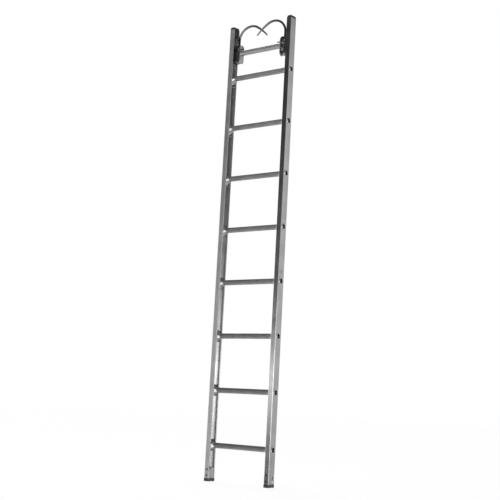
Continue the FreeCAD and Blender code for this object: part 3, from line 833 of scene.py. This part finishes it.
def rail_tip(side, sign):
    """The rubber cap: a rounded rectangle carried up from its plug, out over the rail's edge
    with a soft lip, in a little at the waist and over a crowned top. The top sinks by CAP_DIP
    times the share of CAP_SLOPE that lies in front of the middle."""
    low, high = ends(side + "_rail_cap")
    seat = ends(side + "_rail")[1][2]
    near, far = sorted((abs(low[0]), abs(high[0])))
    y = high[1]
    tall = high[2] - seat

    def outline(inset, radius):
        mouth = near + CAP_SETBACK + inset
        corners = [(far - inset, -y + inset), (far - inset, y - inset), (mouth, y - inset),
                   (mouth, -y + inset)]
        return soft_outline(corners, max(radius - inset, 1 * MM), 8)

    plug_in = WALL + 1.4 * MM
    rows = [(outline(plug_in + 3.4 * MM, 8 * MM), low[2]),
            (outline(plug_in + 3 * MM, 8 * MM), low[2] + 2 * MM),
            (outline(plug_in + 3 * MM, 8 * MM), seat), (outline(0.6 * MM, 4 * MM), seat),
            (outline(0.1 * MM, 4 * MM), seat + 0.8 * MM), (outline(0, 4 * MM), seat + 2 * MM),
            (outline(0.2 * MM, 5 * MM), seat + 3.2 * MM), (outline(0.9 * MM, 6 * MM), seat + 4.2 * MM)]
    bend = np.linspace(0, pi / 2, 9)
    side_top = tall - CAP_CROWN
    rows += [(outline(1 * MM + 9 * MM * (1 - cos(t)), 9 * MM + 2 * MM * sin(t)),
              seat + side_top * 0.72 + (tall * 0.94 - side_top * 0.72) * sin(t)) for t in bend]
    rows += [(outline(12 * MM, 12 * MM), high[2] - 0.3 * MM), (outline(14 * MM, 14 * MM), high[2])]
    made = np.array([np.column_stack([o, np.full(len(o), h)]) for o, h in rows]) * np.array([sign, 1, 1])
    crown = np.clip((made[..., 2] - seat) / tall - 0.5, 0, 0.5) * 2
    forward = np.clip(-made[..., 1] / CAP_SLOPE, 0, 1)
    made[..., 2] -= crown * CAP_DIP * forward
    piece(side + "_tip_cap", [(made, "caps")], side + "_rail_cap")


def eased_casting(node, name, grain, passes):
    """A casting with its sharp edges eased: the frame's mesh closed, remeshed on an even grid
    and relaxed a few times."""
    work = bmesh.new()
    work.from_mesh(frame["nodes"][node].data)
    bmesh.ops.remove_doubles(work, verts=work.verts, dist=0.01 * MM)
    mesh = bpy.data.meshes.new(name)
    work.to_mesh(mesh)
    work.free()
    blank = bpy.data.objects.new(name + "_blank", mesh)
    bpy.context.scene.collection.objects.link(blank)
    remesh = blank.modifiers.new("even grid", "REMESH")
    remesh.mode = "VOXEL"
    remesh.voxel_size = grain
    relax = blank.modifiers.new("relax", "SMOOTH")
    relax.factor = 0.5
    relax.iterations = passes
    ready = bpy.data.meshes.new_from_object(blank.evaluated_get(bpy.context.evaluated_depsgraph_get()))
    bpy.data.objects.remove(blank)
    return own(name, ready, node, "ladder", 60)


bracing_tube()
for side, sign in SIDES:
    cheek(side, sign)
    shank_fittings(side)
    housing_screws(side)
    foot_fasteners(side, sign)
    rail_tip(side, sign)
    eased_casting(side + "_hook_housing", side + "_lug_housing", 1.2 * MM, 2)
    eased_casting(side + "_foot_insert", side + "_foot_casting", 1.0 * MM, 3)
    eased_casting(side + "_spur", side + "_foot_shoe", 0.9 * MM, 3)


# ---------------------------------------------------------------- carried-over nodes

for part in frame["record"]["subparts"]:
    paint(frame["nodes"][part["node"]], part["material_slot"])
# The left rail takes the lighter copy of the rail metal: painted light.
paint(frame["nodes"]["left_rail"], "dull left-rail extrusion with painted light")


# ---------------------------------------------------------------- studio

# Brightness over the sine of the height above the horizon, for each quarter that the metal mirrors.
FRONT_LEFT_LIGHT = [
    (-1.0, 0.8), (-0.3, 0.7), (-0.12, 0.22), (-0.06, 0.1), (-0.02, 0.3), (0.015, 1.5),
    (0.038, 1.5), (0.058, 0.3), (0.1, 0.17), (0.16, 0.12), (0.22, 0.08), (0.38, 0.04),
    (0.6, 0.08), (0.85, 0.2), (1.0, 0.2)]
FRONT_RIGHT_LIGHT = [
    (-1.0, 0.3), (-0.72, 0.3), (-0.66, 5.0), (-0.52, 5.0), (-0.46, 0.8), (-0.32, 1.8),
    (-0.08, 1.5), (-0.02, 3.4), (0.045, 5.4), (0.065, 1.6), (0.11, 1.4), (0.17, 0.35),
    (0.22, 0.08), (0.3, 0.02), (0.6, 0.06), (0.85, 0.2), (1.0, 0.2)]
REAR_LIGHT = [(-1.0, 0.7), (-0.1, 0.5), (0.0, 0.66), (0.3, 0.66), (0.5, 0.25), (1.0, 0.2)]
REAR_LEFT_GAIN = 2.0
FLOOR_GLOW = 0.74
FLOOR_REACH = 40
CAMERA_PLACE = (3.5986, -5.1210, 0.5116)
CAMERA_LENS = 69.12


def studio_world():
    """Plain white behind the ladder. What the metal mirrors: in front a dark wall over a bright
    band at the horizon, brightest on the climber's right, and a lit ground; behind, even light
    that is stronger on the climber's left; overhead, dim."""
    world = bpy.data.worlds.new("studio")
    bpy.context.scene.world = world
    world.use_nodes = True
    tree = world.node_tree
    tree.nodes.clear()
    way = add(tree, "TexCoord").outputs["Generated"]
    axes = add(tree, "SeparateXYZ", {0: way}).outputs
    height = spread(tree, axes["Z"], -1.0, 1.0, 0.0, 1.0)
    front_left = ramp(tree, height, FRONT_LEFT_LIGHT)
    front_right = ramp(tree, height, FRONT_RIGHT_LIGHT)
    rear = ramp(tree, height, REAR_LIGHT)
    front = mixed(tree, spread(tree, axes["X"], -0.3, 0.3, 0.0, 1.0), front_left, front_right)
    brighter = add(tree, "VectorMath", {0: rear, "Scale": REAR_LEFT_GAIN}, operation="SCALE")
    bright_rear = brighter.outputs[0]
    behind = mixed(tree, spread(tree, axes["X"], -0.75, -0.45, 1.0, 0.0), rear, bright_rear)
    mirrored = mixed(tree, spread(tree, axes["Y"], -0.45, 0.1, 0.0, 1.0), front, behind)
    seen = add(tree, "LightPath").outputs["Is Camera Ray"]
    colour = mixed(tree, seen, mirrored, (1, 1, 1, 1))
    background = add(tree, "Background", {"Color": colour, "Strength": 1.0})
    add(tree, "OutputWorld", {"Surface": background.outputs[0]})


def ramp(tree, value, stops):
    """Brightness over the sine of the height above the horizon, from -1 to 1."""
    node = add(tree, "ValToRGB", {"Fac": value})
    points = node.color_ramp.elements
    while len(points) < len(stops):
        points.new(0.5)
    for point, (sine, light) in zip(points, stops):
        point.position = (sine + 1) / 2
        point.color = (light, light, light, 1)
    return node.outputs["Color"]


def lamp(name, place, aim, size, power):
    light = bpy.data.lights.new(name, "AREA")
    light.shape = "RECTANGLE"
    light.size, light.size_y = size
    light.energy = power
    made = bpy.data.objects.new(name, light)
    made.location = place
    made.rotation_euler = (Vector(aim) - Vector(place)).to_track_quat("-Z", "Y").to_euler()
    made.visible_camera = False
    bpy.context.scene.collection.objects.link(made)
    return made


def studio_floor():
    mesh = bpy.data.meshes.new("floor")
    reach = FLOOR_REACH
    corners = [(-reach, -reach, 0), (reach, -reach, 0), (reach, reach, 0), (-reach, reach, 0)]
    mesh.from_pydata(corners, [], [(0, 1, 2, 3)])
    floor = bpy.data.objects.new("floor", mesh)
    bpy.context.scene.collection.objects.link(floor)
    made = bpy.data.materials.new("pale floor")
    made.use_nodes = True
    shader = made.node_tree.nodes["Principled BSDF"]
    shader.inputs["Base Color"].default_value = (0.85, 0.85, 0.85, 1)
    shader.inputs["Roughness"].default_value = 1.0
    shader.inputs["Emission Color"].default_value = (1, 1, 1, 1)
    shader.inputs["Emission Strength"].default_value = FLOOR_GLOW
    mesh.materials.append(made)
    floor.visible_glossy = False


def camera():
    """Stands low at the climber's right and looks up the ladder, with a slight roll."""
    azimuth, lift, roll = radians(35.14), radians(9.06), radians(3.08)
    forward = Vector((-sin(azimuth) * cos(lift), cos(azimuth) * cos(lift), sin(lift)))
    right = Vector((cos(azimuth), sin(azimuth), 0))
    up = right.cross(forward)
    x_axis = cos(roll) * right + sin(roll) * up
    y_axis = -sin(roll) * right + cos(roll) * up
    lens = bpy.data.cameras.new("camera")
    lens.lens = CAMERA_LENS
    made = bpy.data.objects.new("camera", lens)
    turned = Matrix((x_axis, y_axis, -forward)).transposed().to_4x4()
    turned.translation = Vector(CAMERA_PLACE)
    made.matrix_world = turned
    bpy.context.scene.collection.objects.link(made)
    bpy.context.scene.camera = made


studio_world()
studio_floor()
lamp("key", (-2.6, -3.4, 6.0), (0, 0, 1.5), (1.2, 1.2), 12)
camera()
bpy.context.scene.view_settings.view_transform = "Standard"
